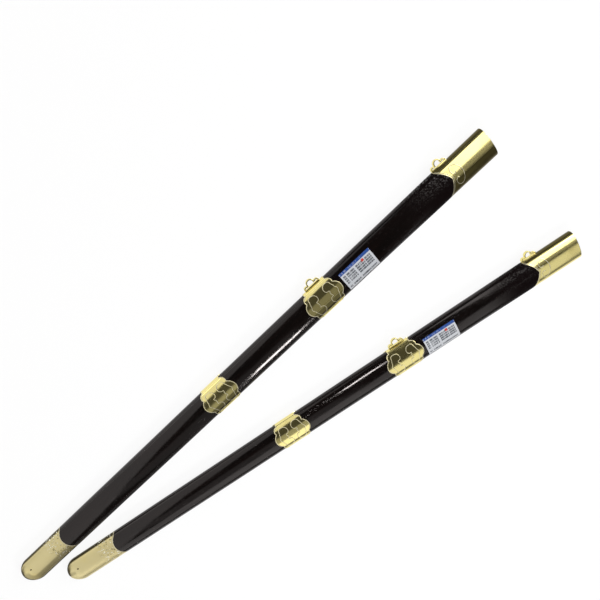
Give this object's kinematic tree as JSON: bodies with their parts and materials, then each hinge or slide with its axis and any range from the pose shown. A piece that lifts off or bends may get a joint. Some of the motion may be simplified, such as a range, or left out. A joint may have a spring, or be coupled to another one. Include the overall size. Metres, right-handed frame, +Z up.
{
  "type": "pair of scabbard training sticks",
  "caption": "Straight lacquered wooden scabbard sticks with brass throat, bands, chape and trefoil hanging loops, lying as a pair",
  "frame": {"origin": "on the floor under the middle of the pair's box", "axes": "+X along the first stick from tip to mouth, +Y towards its hanging loops, +Z up"},
  "size_m": [0.8286, 0.2504, 0.0214],
  "materials": {
    "lacquered_wood": "gloss black-brown lacquer over open-pored wood",
    "brass": "polished sheet brass with fine engraved lines",
    "paper_label": "white coated paper with a blue strip"
  },
  "bodies": {
    "first_stick": {"first_front_slat": "lacquered_wood", "first_back_slat": "lacquered_wood", "first_throat": "brass", "first_mouth_plate": "brass", "first_throat_loop": "brass", "first_upper_band": "brass", "first_upper_loop": "brass", "first_lower_band": "brass", "first_chape": "brass", "first_chape_brad": "brass", "first_label": "paper_label"},
    "second_stick": {"second_front_slat": "lacquered_wood", "second_back_slat": "lacquered_wood", "second_throat": "brass", "second_mouth_plate": "brass", "second_throat_loop": "brass", "second_upper_band": "brass", "second_upper_loop": "brass", "second_lower_band": "brass", "second_chape": "brass", "second_chape_brad": "brass", "second_label": "paper_label"}
  },
  "joints": [
    {"name": "second_stick_lift", "type": "slide", "parent": "first_stick", "child": "second_stick", "axis": [0, 0, 1], "range_m": [0, 0.25]}
  ]
}
